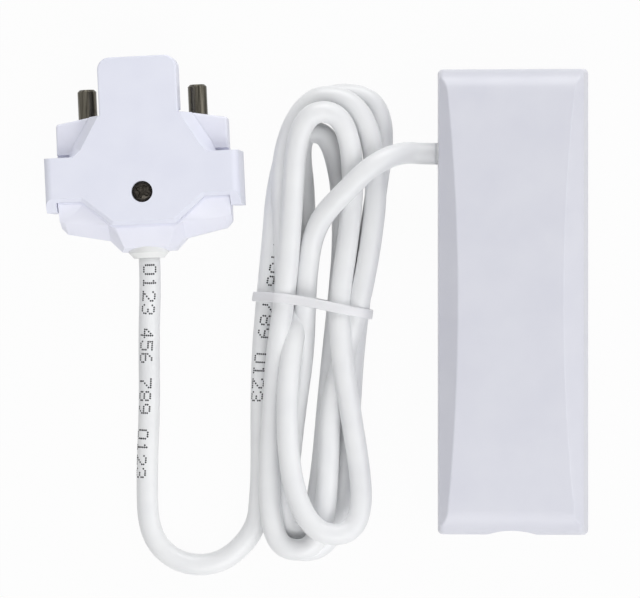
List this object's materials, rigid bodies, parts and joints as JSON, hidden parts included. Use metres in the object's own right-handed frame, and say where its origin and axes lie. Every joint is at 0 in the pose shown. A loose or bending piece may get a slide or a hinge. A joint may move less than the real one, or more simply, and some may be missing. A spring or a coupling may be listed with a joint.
{
  "type": "water leak sensor",
  "caption": "Flat battery housing with an arched, bevelled cover and a bracketed floor probe with metal contact pins, joined by a white lead tied in a hank.",
  "frame": {"origin": "centre of the housing's flat back face, on the surface that everything lies on", "axes": "+X across the housing away from the probe, +Y along the housing towards the lead's end, +Z out of the front face"},
  "size_m": [0.1282, 0.1232, 0.024],
  "materials": {
    "housing_white": "fine satin moulding, cool white",
    "probe_white": "fine satin moulding, cool white",
    "bracket_white": "fine satin moulding, cool white",
    "jacket_white": "smooth PVC jacket",
    "tie_nylon": "natural nylon",
    "pin_nickel": "dark nickel plate, turned",
    "screw_nickel": "dark nickel plate",
    "zinc": "bright zinc plate",
    "tin": "tinned brass",
    "gland_rubber": "pale yellowish elastomer",
    "board_green": "solder mask over glass fibre",
    "can_tin": "tinned screening can",
    "chip_black": "moulded package",
    "crystal_steel": "plain can",
    "terminal_green": "moulded polyamide",
    "switch_black": "moulded body",
    "plunger_white": "moulded plunger",
    "capacitor_can": "bare drawn can",
    "cell_can": "plain steel can with a clear sleeve",
    "contact_spring": "nickel plated spring sheet",
    "wire_red": "PVC insulation",
    "wire_black": "PVC insulation",
    "wire_brown": "PVC insulation",
    "wire_blue": "PVC insulation",
    "copper": "bare copper wire"
  },
  "bodies": {
    "housing": {"back_base": "housing_white", "circuit_board": "board_green", "board_screws": "zinc", "radio_module": "can_tin", "controller_chip": "chip_black", "crystal_can": "crystal_steel", "buffer_capacitor": "capacitor_can", "terminal_block": "terminal_green", "terminal_screws": "zinc", "tamper_switch": "switch_black", "antenna_wire": "copper", "battery_cell": "cell_can", "contact_positive": "contact_spring", "contact_negative": "contact_spring", "lead_red": "wire_red", "lead_black": "wire_black", "cable_clamp": "bracket_white", "clamp_screws": "zinc", "cable_end": "jacket_white", "core_brown": "wire_brown", "core_blue": "wire_blue", "probe_body": "probe_white", "probe_base_plate": "probe_white", "mounting_bracket": "bracket_white", "contact_pin_left": "pin_nickel", "contact_pin_right": "pin_nickel", "pin_nuts": "tin", "solder_tags": "tin", "bracket_screw": "screw_nickel", "probe_gland": "gland_rubber", "probe_core_brown": "wire_brown", "probe_core_blue": "wire_blue", "cord_to_housing": "jacket_white", "cord_hank": "jacket_white", "cord_to_probe": "jacket_white", "hank_tie": "tie_nylon"},
    "cover": {"front_cover": "housing_white"},
    "plunger": {"tamper_plunger": "plunger_white"}
  },
  "joints": [
    {"name": "cover_swing", "type": "hinge", "parent": "housing", "child": "cover", "pos_m": [0, 0.05447, 0.0045], "axis": [-1, 0, 0], "range_deg": [0, 75]},
    {"name": "tamper_press", "type": "slide", "parent": "housing", "child": "plunger", "axis": [0, 0, 1], "range_m": [-0.00025, 0], "stiffness_N_per_m": 400}
  ]
}
